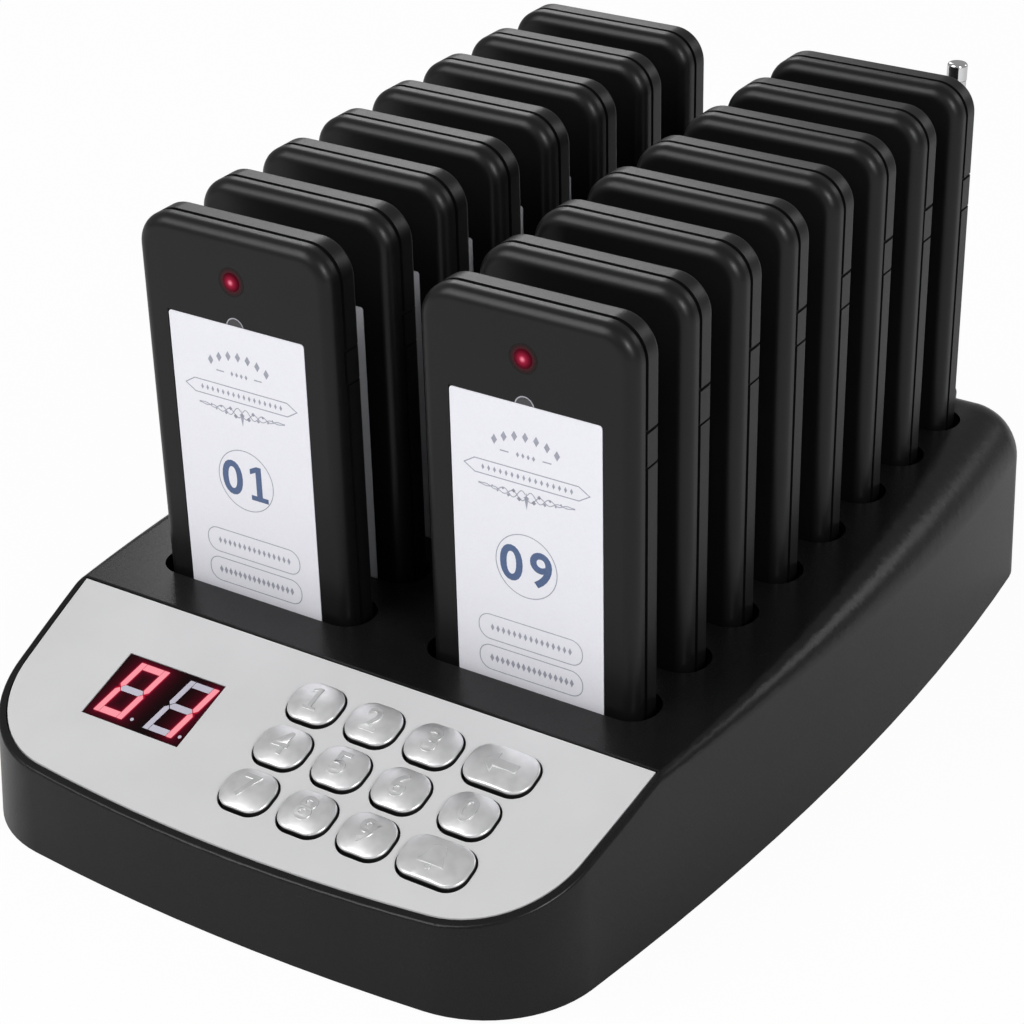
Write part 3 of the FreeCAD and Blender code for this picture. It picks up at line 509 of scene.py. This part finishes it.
class PagerFinish(bpy.types.PropertyGroup):
    """Colours and gloss of the visible parts."""
    case_colour: FloatVectorProperty(
        name="Base", description="Colour of the base housing",
        subtype="COLOR", default=(0.0065, 0.0065, 0.0067))
    case_gloss: FloatProperty(
        name="Base gloss", description="Strength of the base housing's reflections",
        default=0.25, min=0.0, max=1.0)
    case_roughness: FloatProperty(
        name="Base roughness", description="Gloss of the base housing, 0 is polished",
        default=0.3, min=0.0, max=1.0)
    pager_colour: FloatVectorProperty(
        name="Pagers", description="Colour of the pager shells",
        subtype="COLOR", default=(0.0052, 0.0052, 0.0055))
    pager_gloss: FloatProperty(
        name="Pager gloss", description="Strength of the pager shells' reflections",
        default=0.3, min=0.0, max=1.0)
    pager_roughness: FloatProperty(
        name="Pager roughness", description="Gloss of the pager shells, 0 is polished",
        default=0.36, min=0.0, max=1.0)
    plate_colour: FloatVectorProperty(
        name="Panel", description="Colour of the silver panel",
        subtype="COLOR", default=(0.605, 0.605, 0.61))
    key_colour: FloatVectorProperty(
        name="Keys", description="Colour of the keys",
        subtype="COLOR", default=(0.9, 0.9, 0.905))
    card_colour: FloatVectorProperty(
        name="Cards", description="Colour of the label cards",
        subtype="COLOR", default=(0.905, 0.905, 0.965))
    ink_colour: FloatVectorProperty(
        name="Numbers", description="Colour of the printed numbers",
        subtype="COLOR", default=(0.085, 0.14, 0.29))


class PagerSizes(bpy.types.PropertyGroup):
    """Sizes of the pieces that are added to the CAD model."""
    card_width: FloatProperty(
        name="Card width", description="Width of a label card",
        unit="LENGTH", default=38.3 * MM)
    card_low: FloatProperty(
        name="Card foot", description="Height of the card's lower edge over the pager's foot",
        unit="LENGTH", default=6.2 * MM)
    card_high: FloatProperty(
        name="Card head", description="Height of the card's upper edge over the pager's foot",
        unit="LENGTH", default=84.05 * MM)
    number_height: FloatProperty(
        name="Number height", description="Height of the printed number",
        unit="LENGTH", default=9.1 * MM)
    figure_spacing: FloatProperty(
        name="Figure spacing", description="Distance between the middles of the two figures",
        unit="LENGTH", default=7.7 * MM)
    ring_width: FloatProperty(
        name="Ring", description="Diameter of the ring round the number",
        unit="LENGTH", default=16.0 * MM)
    light_radius: FloatProperty(
        name="Light", description="Radius of the red light of a pager",
        unit="LENGTH", default=2.3 * MM)
    legend_height: FloatProperty(
        name="Legends", description="Height of the raised legends of the keys",
        unit="LENGTH", default=6.5 * MM)
    digit_height: FloatProperty(
        name="Digits", description="Height of a digit on the display",
        unit="LENGTH", default=16.1 * MM)
    pagers: IntProperty(
        name="Pagers", description="How many pagers the base holds",
        default=16, min=1, max=16)


class PagerStudio(bpy.types.PropertyGroup):
    """Camera and lamps."""
    camera_place: FloatVectorProperty(
        name="Camera", description="Place of the camera",
        subtype="TRANSLATION", unit="LENGTH", default=(0.30706, -0.48771, 0.34813))
    camera_down: FloatProperty(
        name="Tilt", description="Camera's turn from straight down",
        subtype="ANGLE", default=math.radians(62.533))
    camera_round: FloatProperty(
        name="Round", description="Camera's turn about the upright axis",
        subtype="ANGLE", default=math.radians(32.608))
    lens: FloatProperty(
        name="Lens", description="Focal length in millimetres on a 36 mm sensor",
        default=92.36)
    surround: FloatProperty(
        name="Surround", description="Strength of the even white light from all round",
        default=0.32)
    left_lamp: FloatProperty(
        name="Left lamp", description="Power of the large lamp high at the left front, in watts",
        default=15.0)
    right_lamp: FloatProperty(
        name="Right lamp", description="Power of the lamp high at the right front, in watts",
        default=9.0)
    rear_lamp: FloatProperty(
        name="Rear lamp", description="Power of the lamp at the left rear, in watts",
        default=3.5)
    edge_lamp: FloatProperty(
        name="Edge lamp", description="Power of the low lamp at the right rear, in watts",
        default=1.8)


class PAGER_OT_housing(bpy.types.Operator):
    """Finish the base housing, its bottom cover, feet and screws"""
    bl_idname = "pager.housing"
    bl_label = "Base housing"

    def execute(self, context):
        smoothed("top_housing", finish("case"))
        for node, name in (("bottom_cover", "case"), ("rubber_feet", "rubber"), ("case_screws", "screw")):
            finish_node(node, finish(name))
        return {"FINISHED"}


class PAGER_OT_inside(bpy.types.Operator):
    """Finish the boards, the keypad sheet and the contact pins inside the base"""
    bl_idname = "pager.inside"
    bl_label = "Boards and contacts"

    def execute(self, context):
        finishes = (("main_board", "board"), ("charge_boards", "board"), ("charge_contacts", "gold"),
                    ("keypad_sheet", "sheet"), ("display_module", "block"))
        for node, name in finishes:
            finish_node(node, finish(name))
        return {"FINISHED"}


class PAGER_OT_rear(bpy.types.Operator):
    """Finish the supply inlet and the rocker in the rear wall"""
    bl_idname = "pager.rear"
    bl_label = "Inlet and switch"

    def execute(self, context):
        finish_node("power_inlet", finish("inlet"))
        finish_node("power_switch", finish("rocker"))
        return {"FINISHED"}


class PAGER_OT_antenna(bpy.types.Operator):
    """Finish the antenna: a black foot and two chromed tubes"""
    bl_idname = "pager.antenna"
    bl_label = "Antenna"

    def execute(self, context):
        smoothed("antenna_swivel", finish("case"))
        smoothed("antenna_mast", finish("chrome"))
        smoothed("antenna_tip", finish("chrome"))
        return {"FINISHED"}


def bell_outline():
    """A bell: its half width grows from the crown to the lip as a smooth step, and the lip is flat."""
    t = np.linspace(0, 1, 18)
    half = 0.32 + 0.5 * t**3 * (4 - 3 * t) + 0.25 * np.sqrt(np.clip(t * 4, 0, 1))
    height = 1.0 - 1.75 * t
    half[0] = 0.12
    right = np.column_stack([half, height])
    left = right[::-1] * np.array([-1, 1])
    return np.vstack([left, right])[::-1]


def arrow_outline():
    """An arrow that points to the left: a tip, two shoulders and a square tail."""
    return np.array([[-1.3, 0], [-0.35, -0.85], [-0.35, -0.34], [1.3, -0.34],
                     [1.3, 0.34], [-0.35, 0.34], [-0.35, 0.85]])


def legend(mark, height, depth):
    """The raised mark of a key: a number, an arrow, or a bell with its clapper."""
    if mark == "1":
        return figure_one(height, depth)
    if mark == "back":
        return prism(arrow_outline() * height / 1.9, 0, depth)
    if mark == "bell":
        clapper = moved(prism(round_outline(0.24, 20) * height / 2.1, 0, depth), 0, -0.98 * height / 2.1)
        return joined([prism(bell_outline() * height / 2.1, 0, depth), clapper])
    return lettering(mark, height, depth, 0.02)


class PAGER_OT_keys(bpy.types.Operator):
    """Finish the keys and raise a legend on each, bent to the key's dome"""
    bl_idname = "pager.keys"
    bl_label = "Keys"

    def execute(self, context):
        size = context.scene.pager_sizes
        for node, (x, down, width, mark) in KEYS.items():
            smoothed(node, finish("key"))
            radius = (width / 2) ** 2 / (2 * KEY_DROP) + KEY_DROP / 2
            points, faces = legend(mark, size.legend_height / MM, 0.5)
            far = (points[:, :2] ** 2).sum(axis=1)
            points[:, 2] += KEY_RISE - 0.24 - (radius - np.sqrt(radius**2 - far))
            shape = moved((points, faces), x - 0.3, 0.5 - down, 0)
            raised_mark = piece(node + "_legend", shape, PANEL, node, finish("legend"),
                                smooth=True)
            edge = raised_mark.modifiers.new("soft_edge", "BEVEL")
            edge.width = 0.00016
            edge.segments = 2
            edge.limit_method = "ANGLE"
            edge.angle_limit = math.radians(50)
        return {"FINISHED"}


def bars_of_digit(width, height, slant, upright, level):
    """The seven bars of a digit, from A to G. Upright bars reach from the digit's end to a point
    beside its middle, and level bars fill the space between them. Every point leans over by the
    slant times its height. Each bar is given as its outline, anticlockwise, and its middle line."""
    w, h, gap = width / 2, height / 2, 0.17
    inner = w - upright
    tip = gap + upright / 2
    stands = np.array([[inner, tip], [w - upright / 2, gap], [w, tip], [w, h], [inner, h]])
    stands_line = np.array([[w - upright / 2, tip], [w - upright / 2, h - upright / 2]])
    lies = np.array([[gap - inner, h - level], [inner - gap, h - level],
                     [inner - gap, h], [gap - inner, h]])
    lies_line = np.array([[-inner, h - level / 2], [inner, h - level / 2]])
    reach = w - upright / 2 - gap
    half = level / 2
    middle = np.array([[-reach, 0], [gap - inner, -half], [inner - gap, -half],
                       [reach, 0], [inner - gap, half], [gap - inner, half]])
    middle_line = np.array([[-inner, 0], [inner, 0]])
    bars = []
    turned_over = ((lies, lies_line, 1, 1), (stands, stands_line, 1, 1), (stands, stands_line, 1, -1),
                   (lies, lies_line, 1, -1), (stands, stands_line, -1, -1),
                   (stands, stands_line, -1, 1), (middle, middle_line, 1, 1))
    for outline, line, sx, sy in turned_over:
        shape = outline * np.array([sx, sy])
        shape = shape[::-1] if sx * sy < 0 else shape
        bars.append([leaning(points, slant / height) for points in (shape, line * np.array([sx, sy]))])
    return bars


def leaning(points, lean):
    """The points pushed over to the right by their own height times the lean."""
    return points + points[:, 1:] * np.array([lean, 0])


def distance_to_lines(points, lines):
    """How far each point lies from the nearest of the lines."""
    best = np.full(len(points), 1e9)
    for a, b in lines:
        along = np.clip(((points - a) @ (b - a)) / ((b - a) @ (b - a)), 0, 1)
        near = a + along[:, None] * (b - a)
        best = np.minimum(best, np.linalg.norm(points - near, axis=1))
    return best


class PAGER_OT_display(bpy.types.Operator):
    """Lay the bars of two digits on the display's face, with the red halo round those that are lit"""
    bl_idname = "pager.display"
    bl_label = "Display"

    def execute(self, context):
        size = context.scene.pager_sizes
        finish_node("display_window", finish("display"))
        digits = (((-45.9, -26.1), "ABCDEF"), ((-31.35, -26.2), "BC"))
        top = -0.2
        shining, dull, lines = [], [], []
        for place, on in digits:
            bars = bars_of_digit(8.3, size.digit_height / MM, 2.35, 1.5, 1.75)
            for letter, (bar, line) in zip("ABCDEFG", bars):
                if letter in on:
                    shining.append(bar + np.array(place))
                    lines.append(line + np.array(place))
                else:
                    dull.append(bar + np.array(place))
        dots = [round_outline(0.45, 20) + np.array(place) for place in ((-40.5, -33.2), (-26.6, -33.2))]
        shape = joined([prism(bar, top, top + 0.1) for bar in shining])
        lamp = piece("display_bars_lit", shape, PANEL, "base", finish("segment"))
        set_warmth(lamp, np.ones(len(lamp.data.vertices)))
        shape = joined([prism(bar, top, top + 0.09) for bar in dull + dots])
        piece("display_bars_unlit", shape, PANEL, "base", finish("dull"))
        u, v = np.meshgrid(np.linspace(-53.2, -25.46, 180), np.linspace(-35.88, -16.71, 130))
        face = np.column_stack([u.ravel(), v.ravel()])
        far = np.clip(distance_to_lines(face, lines) - 0.75, 0, None)
        glow = 0.45 * np.exp(-far / 0.3) + 0.55 * np.exp(-far / 1.8)
        shape = sheet_of(u, v, top + 0.005, top + 0.03)
        halo = piece("display_halo", shape, PANEL, "base", finish("halo"))
        set_warmth(halo, np.concatenate([glow, glow]))
        return {"FINISHED"}


def sheet_of(u, v, low, high):
    """A closed flat sheet over a grid of places: the grid at the upper height, the same grid
    turned over at the lower height, and a skirt along their rims."""
    rows, columns = u.shape
    face = np.column_stack([u.ravel(), v.ravel()])
    upper = np.column_stack([face, np.full(len(face), high)])
    lower = np.column_stack([face, np.full(len(face), low)])
    k = (np.arange(rows - 1)[:, None] * columns + np.arange(columns - 1)).ravel()
    quads = np.column_stack([k, k + 1, k + columns + 1, k + columns])
    rim = np.concatenate([
        np.arange(columns), columns * np.arange(1, rows) + columns - 1,
        columns * (rows - 1) + np.arange(columns - 2, -1, -1), columns * np.arange(rows - 2, 0, -1),
    ])
    n = len(face)
    following = np.roll(rim, -1)
    skirt = np.column_stack([rim + n, following + n, following, rim])
    return np.vstack([upper, lower]), quads.tolist() + (quads[:, ::-1] + n).tolist() + skirt.tolist()


def ring_sheet(ring, low, high):
    """A closed flat ring over circles of points, from the innermost to the outermost: the
    circles at the upper height, the same circles at the lower height, and a wall at either rim."""
    rows, steps = ring.shape[:2]
    flat = ring.reshape(-1, 2)
    n = len(flat)
    points = np.vstack([np.column_stack([flat, np.full(n, z)]) for z in (high, low)])
    i = np.arange(steps)
    j = (i + 1) % steps
    row = np.arange(rows - 1)[:, None] * steps
    upper = np.stack([row + i, row + steps + i, row + steps + j, row + j], axis=-1).reshape(-1, 4)
    last = (rows - 1) * steps
    outer = np.column_stack([last + i, last + i + n, last + j + n, last + j])
    inner = np.column_stack([i, j, j + n, i + n])
    return points, np.vstack([upper, upper[:, ::-1] + n, outer, inner]).tolist()


class PAGER_OT_panel(bpy.types.Operator):
    """Finish the silver panel"""
    bl_idname = "pager.panel"
    bl_label = "Panel"

    def execute(self, context):
        finish_node("control_panel", finish("plate"))
        return {"FINISHED"}


def lozenge(width, height):
    """A four-cornered leaf about the origin, of unit thickness."""
    return prism(np.array([[-width / 2, 0], [0, -height / 2], [width / 2, 0], [0, height / 2]]), 0, 1)


def row_of_lozenges(count, step, width, height, x, y):
    """A level row of leaves, centred on a place."""
    return [moved(lozenge(width, height), x + (k - (count - 1) / 2) * step, y) for k in range(count)]


def stroke(path, width):
    """A line of even width along an open path, of unit thickness: the path moved along its
    normal to both sides."""
    step = np.gradient(path, axis=0)
    normal = np.column_stack([-step[:, 1], step[:, 0]]) / np.linalg.norm(step, axis=1)[:, None]
    half = normal * width / 2
    return prism(np.vstack([path - half, (path + half)[::-1]]), 0, 1)


def ornament():
    """A spray of leaves between two waves that fade outwards as one less the distance."""
    shapes = [moved(lozenge(0.8, 4.2), 0, 60.8), moved(lozenge(1.5, 1.1), 0, 61.6)]
    t = np.linspace(0.02, 1, 70)
    for side in (-1, 1):
        for phase, height, size in ((0, 61.9, 1.35), (math.pi, 61.7, 1.1)):
            wave = size * (1 - t) * np.sin(5.2 * math.pi * t + phase)
            path = np.column_stack([side * 12.3 * t, height + wave + 0.5 * t**2])
            shapes.append(stroke(path if side > 0 else path[::-1], 0.2))
        for k in np.arange(1, 9):
            share = 1.05 - k / 9.0
            lift = 0.95 * share * (-1) ** k
            place = (side * (0.5 + 1.38 * k), ORNAMENT_HEIGHT + lift + 0.007 * k * k)
            shapes.append(moved(lozenge(1.3 * share, 1.3 * share), *place))
    return shapes


def printed_lines(size):
    """The fine print of a card: an arch of leaves, a ribbon, an ornament, a ring and two long frames."""
    shapes = [moved(band(round_outline(size.ring_width / MM / 2, 72), 0.22, 0, 1), -0.4, RING_HEIGHT)]
    ribbon = np.array([[-16.1, 0], [-13.2, -1.85], [13.3, -1.85], [16.2, 0], [13.3, 1.85], [-13.2, 1.85]])
    shapes.append(moved(band(ribbon, 0.24, 0, 1), 0, RIBBON_HEIGHT))
    for height in (25.9, 17.8):
        shapes.append(moved(band(rounded_outline(27.3, 6.7, 3.1, 10), 0.22, 0, 1), 0.2, height))
    arch = 14.7
    for turn in np.linspace(-0.57, 0.57, 7):
        place = (arch * math.sin(turn), ARCH_CENTRE + arch * math.cos(turn))
        shapes.append(moved(lozenge(1.5, 2.5), *place))
    dash = prism(np.array([[-1.1, -0.14], [1.1, -0.14], [1.1, 0.14], [-1.1, 0.14]]), 0, 1)
    shapes += [moved(dash, side * 5.4, 71.7) for side in (-1, 1)]
    shapes += row_of_lozenges(4, 1.35, 0.8, 1.3, 0, 71.7)
    shapes += row_of_lozenges(16, 1.5, 0.75, 1.5, 0.2, RIBBON_HEIGHT)
    shapes += row_of_lozenges(15, 1.45, 0.9, 1.9, 0.4, 25.9)
    shapes += row_of_lozenges(16, 1.4, 1.05, 2.1, 0.4, 17.8)
    return joined(shapes + ornament())


def tongue_outline(radius, drop):
    """The part of a disc that shows over an edge which passes the given distance above its centre."""
    start = math.asin(drop / radius)
    turn = np.linspace(start, math.pi - start, 25)
    return radius * np.column_stack([np.cos(turn), np.sin(turn)])


def layer(shape, low, high):
    """A flat shape of unit height, set between two depths in front of the card."""
    points = shape[0].copy()
    points[:, 2] = low + points[:, 2] * (high - low)
    return points, shape[1]


class PAGER_OT_pagers(bpy.types.Operator):
    """Finish the pagers, and give each its label card, its number and its red light"""
    bl_idname = "pager.pagers"
    bl_label = "Pagers"

    def execute(self, context):
        size = context.scene.pager_sizes
        low, high, width = size.card_low / MM, size.card_high / MM, size.card_width / MM
        outline = rounded_outline(width, high - low, 0.9, 6) + np.array([0, (low + high) / 2])
        card = upright(prism(outline, -0.33, -0.1))
        lines = upright(layer(printed_lines(size), -0.1, -0.08))
        radius = size.light_radius / MM
        angle = np.linspace(0, math.pi / 2, 17)
        dome = np.column_stack([radius * np.cos(angle), 0.06 + 0.3 * np.sin(angle)])
        profile = np.vstack([[0, -1.2], [1.5, -1.2], [1.65, -1.1], [1.65, 0.02], [radius, 0.02], dome])
        profile[-1, 0] = 0
        lens = upright(moved(turned(profile, 32), 0, LIGHT_HEIGHT, 0))
        outer = tongue_outline(2.5, 0.42)
        tongue = upright(moved(prism(outer, -0.32, -0.12), 0, high - 0.36))
        # Painted highlight: a lighter arc along the tongue's rim, where its edge catches the light
        arc = np.vstack([outer, outer[::-1] * 0.88])
        tongue_rim_painted_highlight = upright(moved(prism(arc, -0.12, -0.09), 0, high - 0.36))
        spread = np.linspace(0, 2 * math.pi, 48, endpoint=False)
        reach = np.linspace(radius + 0.02, 1.55 * radius, 8)
        ring = reach[:, None, None] * np.stack([np.cos(spread), np.sin(spread)], axis=-1)
        glow = upright(moved(ring_sheet(ring, 0.005, 0.02), 0, LIGHT_HEIGHT, 0))
        fading = np.tile(np.repeat(np.clip(1 - (reach - radius) / (0.55 * radius), 0, 1), 48), 2)
        off_axis = np.hypot(lens[0][:, 0], lens[0][:, 2] - LIGHT_HEIGHT)
        middle = (1.0 - np.clip(off_axis / radius, 0, 1)) ** 1.6
        for index in range(size.pagers):
            column, row = divmod(index, ROWS)
            body = "pager_%02d" % (index + 1)
            foot = Vector(((column - 0.5) * COLUMN_PITCH, row * ROW_PITCH, -SEAT_DEPTH))
            place = DECK @ Matrix.Translation(foot * MM)
            smoothed(body + "_front_shell", finish("pager"))
            smoothed(body + "_back_shell", finish("pager"))
            piece(body + "_card", card, place, body, finish("card"))
            piece(body + "_print", lines, place, body, finish("fine_ink"))
            number = two_figures(index + 1, size.number_height / MM, size.figure_spacing / MM)
            number = upright(layer(moved(number, -0.45, 44.35), -0.1, -0.07))
            piece(body + "_number", number, place, body, finish("ink"))
            piece(body + "_tongue", tongue, place, body, finish("tongue"))
            piece(body + "_tongue_rim_painted_highlight", tongue_rim_painted_highlight, place, body, finish("tongue_rim_painted_highlight"))
            halo = piece(body + "_glow", glow, place, body, finish("glow"))
            set_warmth(halo, fading)
            lamp = piece(body + "_light", lens, place, body, finish("lamp"), smooth=True)
            set_warmth(lamp, middle)
        return {"FINISHED"}


def see_white(tree, shader, white):
    """The white shader for what looks straight at it or through glass, and the other for the rest."""
    path = tree.nodes.new("ShaderNodeLightPath")
    direct = tree.nodes.new("ShaderNodeMath")
    direct.operation = "MAXIMUM"
    mix = tree.nodes.new("ShaderNodeMixShader")
    tree.links.new(path.outputs["Is Camera Ray"], direct.inputs[0])
    tree.links.new(path.outputs["Is Transmission Ray"], direct.inputs[1])
    tree.links.new(direct.outputs[0], mix.inputs["Fac"])
    tree.links.new(shader.outputs[0], mix.inputs[1])
    tree.links.new(white.outputs[0], mix.inputs[2])
    return mix


class PAGER_OT_studio(bpy.types.Operator):
    """Set the pale floor, the soft lamps and the camera"""
    bl_idname = "pager.studio"
    bl_label = "Studio"

    def execute(self, context):
        studio = context.scene.pager_studio
        scene = context.scene
        scene.view_settings.view_transform = "Standard"
        world = bpy.data.worlds.new("studio")
        scene.world = world
        world.use_nodes = True
        tree = world.node_tree
        around = tree.nodes["Background"]
        around.inputs["Color"].default_value = (1, 1, 1, 1)
        around.inputs["Strength"].default_value = studio.surround
        white = tree.nodes.new("ShaderNodeBackground")
        white.inputs["Color"].default_value = (1, 1, 1, 1)
        seen = see_white(tree, around, white)
        tree.links.new(seen.outputs[0], tree.nodes["World Output"].inputs["Surface"])
        reach = 3.0
        mesh = bpy.data.meshes.new("floor")
        corners = np.array([[-reach, -reach, 0], [reach, -reach, 0], [reach, reach, 0], [-reach, reach, 0]])
        mesh.from_pydata(corners.tolist(), [], [(0, 1, 2, 3)])
        floor = bpy.data.objects.new("floor", mesh)
        scene.collection.objects.link(floor)
        material, tree, shader = new_material("floor_white")
        shader.inputs["Base Color"].default_value = (0.8, 0.8, 0.8, 1)
        shader.inputs["Roughness"].default_value = 0.9
        shader.inputs["Specular IOR Level"].default_value = 0.1
        white = tree.nodes.new("ShaderNodeEmission")
        seen = see_white(tree, shader, white)
        share = tree.nodes.new("ShaderNodeMixShader")
        share.inputs["Fac"].default_value = 0.96
        tree.links.new(shader.outputs[0], share.inputs[1])
        tree.links.new(seen.outputs[0], share.inputs[2])
        tree.links.new(share.outputs[0], tree.nodes["Material Output"].inputs["Surface"])
        mesh.materials.append(material)
        self.lamp("left_lamp", (-0.7, -1.0, 1.2), 1.0, studio.left_lamp)
        self.lamp("right_lamp", (1.15, -0.6, 0.85), 0.45, studio.right_lamp)
        self.lamp("rear_lamp", (-0.88, 1.2, 0.93), 0.5, studio.rear_lamp)
        self.lamp("edge_lamp", (0.85, 1.3, 0.8), 0.5, studio.edge_lamp)
        camera = bpy.data.objects.new("camera", bpy.data.cameras.new("camera"))
        scene.collection.objects.link(camera)
        camera.location = studio.camera_place
        camera.rotation_euler = (studio.camera_down, 0, studio.camera_round)
        camera.data.sensor_width = 36
        camera.data.lens = studio.lens
        camera.data.shift_x = -0.0011
        camera.data.shift_y = -0.0002
        camera.data.clip_start = 0.01
        scene.camera = camera
        return {"FINISHED"}

    def lamp(self, name, place, width, power):
        """A square soft lamp that looks at the base."""
        data = bpy.data.lights.new(name, "AREA")
        data.size = width
        data.energy = power
        lamp = bpy.data.objects.new(name, data)
        lamp.location = place
        lamp.rotation_euler = (Vector((0, 0, 0.05)) - Vector(place)).to_track_quat("-Z", "Y").to_euler()
        bpy.context.scene.collection.objects.link(lamp)


PIECES = (PAGER_OT_studio, PAGER_OT_housing, PAGER_OT_inside, PAGER_OT_rear, PAGER_OT_panel,
          PAGER_OT_display, PAGER_OT_keys, PAGER_OT_pagers, PAGER_OT_antenna)


class PAGER_PT_pieces(bpy.types.Panel):
    """Lists the pieces of the pager base"""
    bl_idname = "PAGER_PT_pieces"
    bl_label = "Guest pager base"
    bl_space_type = "VIEW_3D"
    bl_region_type = "UI"
    bl_category = "Pagers"

    def draw(self, context):
        for operator in PIECES:
            self.layout.operator(operator.bl_idname)
        for group in (context.scene.pager_sizes, context.scene.pager_finish, context.scene.pager_studio):
            box = self.layout.box()
            for name in group.__annotations__:
                box.prop(group, name)


CLASSES = (PagerFinish, PagerSizes, PagerStudio) + PIECES + (PAGER_PT_pieces,)


def register():
    for cls in CLASSES:
        bpy.utils.register_class(cls)
    bpy.types.Scene.pager_finish = PointerProperty(type=PagerFinish)
    bpy.types.Scene.pager_sizes = PointerProperty(type=PagerSizes)
    bpy.types.Scene.pager_studio = PointerProperty(type=PagerStudio)


def unregister():
    del bpy.types.Scene.pager_studio
    del bpy.types.Scene.pager_sizes
    del bpy.types.Scene.pager_finish
    for cls in reversed(CLASSES):
        bpy.utils.unregister_class(cls)


def main():
    """Makes every piece in turn."""
    register()
    for operator in PIECES:
        group, name = operator.bl_idname.split(".")
        getattr(getattr(bpy.ops, group), name)()


if __name__ == "__main__":
    main()
